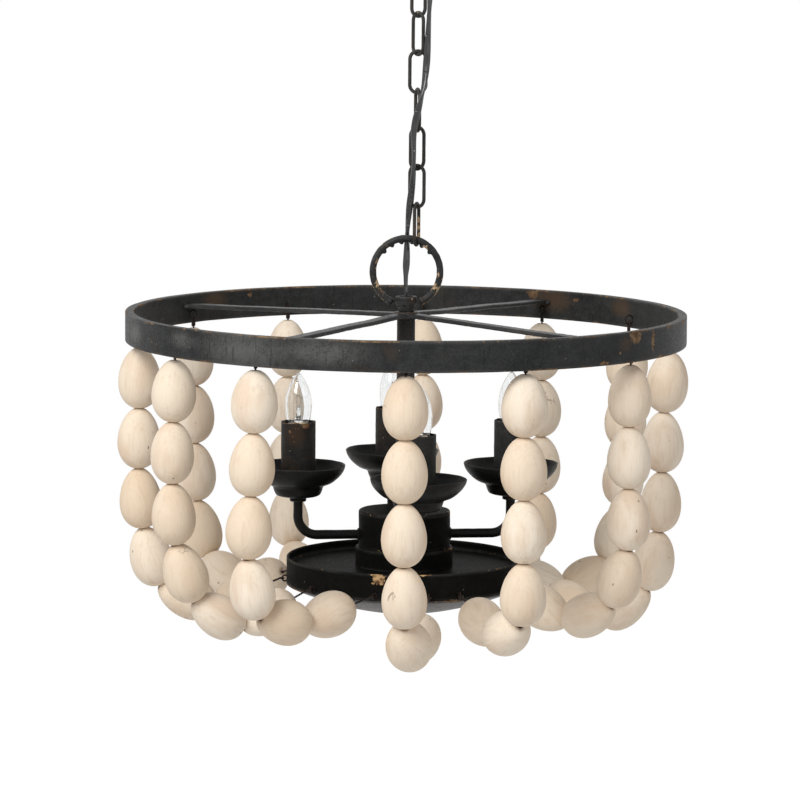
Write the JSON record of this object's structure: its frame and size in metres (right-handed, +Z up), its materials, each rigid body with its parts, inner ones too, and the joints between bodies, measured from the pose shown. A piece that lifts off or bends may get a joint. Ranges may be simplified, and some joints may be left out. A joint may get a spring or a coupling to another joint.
{
  "type": "chandelier",
  "caption": "Round hanging chandelier: an iron ring with swags of pale wooden beads wired down to an iron pan, candle lights on arms above the pan, and a chain with a cord up to a canopy.",
  "frame": {"origin": "middle of the crossbar's top face, on the ceiling, on the chain's line", "axes": "+Z up, -Y towards the picture's viewer, +X to the viewer's right; the frame's own axis lies 10.4 mm left of the chain's line, because the chain sits in a notch beside the top of the suspension ring"},
  "size_m": [0.6162, 0.6315, 0.7805],
  "materials": {
    "dark_iron": "rough black-grey iron paint with fine pale specks, small rust chips at edges and welds",
    "brown_iron": "brown-black rubbed paint",
    "chain_iron": "dark painted wire, tan-orange where it is rubbed",
    "zinc_steel": "plain zinc-plated steel",
    "pale_wood": "bare pale wood under a chalky cream wash, fine lengthwise grain",
    "black_cord": "glossy black flat twin cord, twisted",
    "socket_cream": "plain cream lamp-holder plastic",
    "bulb_glass": "clear glass candle lamp with a metal cap"
  },
  "bodies": {
    "ceiling": {"ceiling_crossbar": "zinc_steel", "ceiling_nipple": "zinc_steel", "ceiling_canopy": "dark_iron", "canopy_nut": "dark_iron", "canopy_loop": "dark_iron", "supply_cord": "black_cord"},
    "link_1": {"chain_link_1": "chain_iron"},
    "link_2": {"chain_link_2": "chain_iron"},
    "link_3": {"chain_link_3": "chain_iron"},
    "link_4": {"chain_link_4": "chain_iron"},
    "link_5": {"chain_link_5": "chain_iron"},
    "link_6": {"chain_link_6": "chain_iron"},
    "link_7": {"chain_link_7": "chain_iron"},
    "frame": {"suspension_ring": "dark_iron", "hub_collar": "dark_iron", "hub_boss": "dark_iron", "column_tube": "brown_iron", "centre_pipe": "zinc_steel", "upper_ring": "dark_iron", "spoke_1": "dark_iron", "spoke_2": "dark_iron", "spoke_3": "dark_iron", "spoke_4": "dark_iron", "drum_cover": "dark_iron", "drum_foot": "dark_iron", "lower_pan": "dark_iron", "pan_dome": "dark_iron", "bottom_nut": "dark_iron", "arm_1": "dark_iron", "arm_2": "dark_iron", "arm_3": "dark_iron", "arm_4": "dark_iron", "bowl_1": "dark_iron", "bowl_2": "dark_iron", "bowl_3": "dark_iron", "bowl_4": "dark_iron", "candle_sleeve_1": "dark_iron", "candle_sleeve_2": "dark_iron", "candle_sleeve_3": "dark_iron", "candle_sleeve_4": "dark_iron", "lamp_socket_1": "socket_cream", "lamp_socket_2": "socket_cream", "lamp_socket_3": "socket_cream", "lamp_socket_4": "socket_cream"},
    "strand_01": {"egg_strand_01": "pale_wood"},
    "strand_02": {"egg_strand_02": "pale_wood"},
    "strand_03": {"egg_strand_03": "pale_wood"},
    "strand_04": {"egg_strand_04": "pale_wood"},
    "strand_05": {"egg_strand_05": "pale_wood"},
    "strand_06": {"egg_strand_06": "pale_wood"},
    "strand_07": {"egg_strand_07": "pale_wood"},
    "strand_08": {"egg_strand_08": "pale_wood"},
    "strand_09": {"egg_strand_09": "pale_wood"},
    "strand_10": {"egg_strand_10": "pale_wood"},
    "strand_11": {"egg_strand_11": "pale_wood"},
    "strand_12": {"egg_strand_12": "pale_wood"},
    "bulb_1": {"bulb_1": "bulb_glass"},
    "bulb_2": {"bulb_2": "bulb_glass"},
    "bulb_3": {"bulb_3": "bulb_glass"},
    "bulb_4": {"bulb_4": "bulb_glass"}
  },
  "joints": [
    {"name": "link_1_swing", "type": "hinge", "parent": "ceiling", "child": "link_1", "pos_m": [0, 0, -0.0696], "axis": [0.6428, -0.766, 0], "range_deg": [-12, 12], "deforming": ["supply_cord"]},
    {"name": "link_2_swing", "type": "hinge", "parent": "link_1", "child": "link_2", "pos_m": [0, 0, -0.11025], "axis": [0.8192, 0.5736, 0], "range_deg": [-12, 12]},
    {"name": "link_3_swing", "type": "hinge", "parent": "link_2", "child": "link_3", "pos_m": [0, 0, -0.14725], "axis": [0.9903, 0.1392, 0], "range_deg": [-12, 12]},
    {"name": "link_4_swing", "type": "hinge", "parent": "link_3", "child": "link_4", "pos_m": [0, 0, -0.19265], "axis": [0.9903, 0.1392, 0], "range_deg": [-12, 12]},
    {"name": "link_5_swing", "type": "hinge", "parent": "link_4", "child": "link_5", "pos_m": [0, 0, -0.22965], "axis": [0.8192, 0.5736, 0], "range_deg": [-12, 12]},
    {"name": "link_6_swing", "type": "hinge", "parent": "link_5", "child": "link_6", "pos_m": [0, 0, -0.27505], "axis": [0.8192, 0.5736, 0], "range_deg": [-12, 12]},
    {"name": "link_7_swing", "type": "hinge", "parent": "link_6", "child": "link_7", "pos_m": [0, 0, -0.31625], "axis": [0.8746, -0.4848, 0], "range_deg": [-12, 12]},
    {"name": "frame_swing", "type": "hinge", "parent": "link_7", "child": "frame", "pos_m": [0.00205, 0, -0.35181], "axis": [-0.9397, 0, 0.342], "range_deg": [-12, 12]},
    {"name": "strand_01_sway", "type": "hinge", "parent": "frame", "child": "strand_01", "pos_m": [-0.01043, -0.2906, -0.45612], "axis": [0.0856, 0.5148, -0.853], "range_deg": [-10, 10]},
    {"name": "strand_02_sway", "type": "hinge", "parent": "frame", "child": "strand_02", "pos_m": [0.11238, -0.26337, -0.45612], "axis": [-0.2024, 0.4683, -0.8601], "range_deg": [-10, 10]},
    {"name": "strand_03_sway", "type": "hinge", "parent": "frame", "child": "strand_03", "pos_m": [0.22526, -0.16999, -0.45612], "axis": [-0.39, 0.3329, -0.8586], "range_deg": [-10, 10]},
    {"name": "strand_04_sway", "type": "hinge", "parent": "frame", "child": "strand_04", "pos_m": [0.27618, -0.04796, -0.45612], "axis": [-0.4932, 0.1798, -0.8512], "range_deg": [-10, 10]},
    {"name": "strand_05_sway", "type": "hinge", "parent": "frame", "child": "strand_05", "pos_m": [0.23996, 0.14749, -0.45612], "axis": [-0.4564, -0.2311, -0.8592], "range_deg": [-10, 10]},
    {"name": "strand_06_sway", "type": "hinge", "parent": "frame", "child": "strand_06", "pos_m": [0.14571, 0.24509, -0.45612], "axis": [-0.3205, -0.4026, -0.8574], "range_deg": [-10, 10]},
    {"name": "strand_07_sway", "type": "hinge", "parent": "frame", "child": "strand_07", "pos_m": [0.00984, 0.28989, -0.45612], "axis": [-0.1002, -0.5069, -0.8562], "range_deg": [-10, 10]},
    {"name": "strand_08_sway", "type": "hinge", "parent": "frame", "child": "strand_08", "pos_m": [-0.14596, 0.25706, -0.45612], "axis": [0.1927, -0.4768, -0.8576], "range_deg": [-10, 10]},
    {"name": "strand_09_sway", "type": "hinge", "parent": "frame", "child": "strand_09", "pos_m": [-0.24992, 0.1646, -0.45612], "axis": [0.3841, -0.3467, -0.8557], "range_deg": [-10, 10]},
    {"name": "strand_10_sway", "type": "hinge", "parent": "frame", "child": "strand_10", "pos_m": [-0.29745, -0.04546, -0.45612], "axis": [0.4996, 0.1084, -0.8595], "range_deg": [-10, 10]},
    {"name": "strand_11_sway", "type": "hinge", "parent": "frame", "child": "strand_11", "pos_m": [-0.25276, -0.16039, -0.45612], "axis": [0.4566, 0.2374, -0.8574], "range_deg": [-10, 10]},
    {"name": "strand_12_sway", "type": "hinge", "parent": "frame", "child": "strand_12", "pos_m": [-0.16529, -0.2459, -0.45612], "axis": [0.3854, 0.3731, -0.844], "range_deg": [-10, 10]},
    {"name": "bulb_1_pull", "type": "slide", "parent": "frame", "child": "bulb_1", "axis": [0, 0, 1], "range_m": [0, 0.025]},
    {"name": "bulb_2_pull", "type": "slide", "parent": "frame", "child": "bulb_2", "axis": [0, 0, 1], "range_m": [0, 0.025]},
    {"name": "bulb_3_pull", "type": "slide", "parent": "frame", "child": "bulb_3", "axis": [0, 0, 1], "range_m": [0, 0.025]},
    {"name": "bulb_4_pull", "type": "slide", "parent": "frame", "child": "bulb_4", "axis": [0, 0, 1], "range_m": [0, 0.025]}
  ]
}
